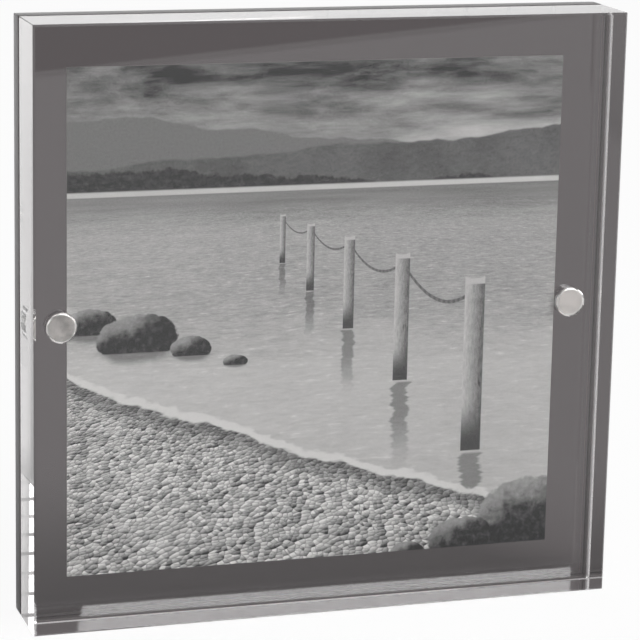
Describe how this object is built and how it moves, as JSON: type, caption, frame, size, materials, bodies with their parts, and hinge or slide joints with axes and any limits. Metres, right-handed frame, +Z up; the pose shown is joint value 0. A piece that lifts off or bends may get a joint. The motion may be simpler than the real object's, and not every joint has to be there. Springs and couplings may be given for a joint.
{
  "type": "acrylic magnetic photo frame",
  "caption": "Square free-standing photo frame: a thick clear acrylic block and a thin smoke-grey rear panel held together by disc magnets, with a photo print between them.",
  "frame": {"origin": "bottom centre of the outer box: on the surface that the frame stands on, midway between its sides and midway through its depth", "axes": "+Z up, +X to the viewer's right, +Y from the clear front block towards the smoke-grey rear panel, so the front faces -Y"},
  "size_m": [0.12, 0.0182, 0.12],
  "materials": {
    "clear_acrylic": "polished clear acrylic",
    "smoke_acrylic": "polished smoke-grey acrylic",
    "photo_paper": "black-and-white photo print on satin paper",
    "nickel": "nickel-plated magnet",
    "clear_glue": "clear cured glue"
  },
  "bodies": {
    "front": {"front_block": "clear_acrylic", "front_magnet_left": "nickel", "front_magnet_right": "nickel", "front_glue_left": "clear_glue", "front_glue_right": "clear_glue"},
    "rear": {"rear_panel": "smoke_acrylic", "rear_magnet_left": "nickel", "rear_magnet_right": "nickel", "rear_glue_left": "clear_glue", "rear_glue_right": "clear_glue"},
    "print": {"photo_print": "photo_paper"}
  },
  "joints": [
    {"name": "rear_pull", "type": "slide", "parent": "front", "child": "rear", "axis": [0, 1, 0], "range_m": [0, 0.06]},
    {"name": "print_lift", "type": "slide", "parent": "front", "child": "print", "axis": [0, 0, 1], "range_m": [0, 0.112]}
  ]
}
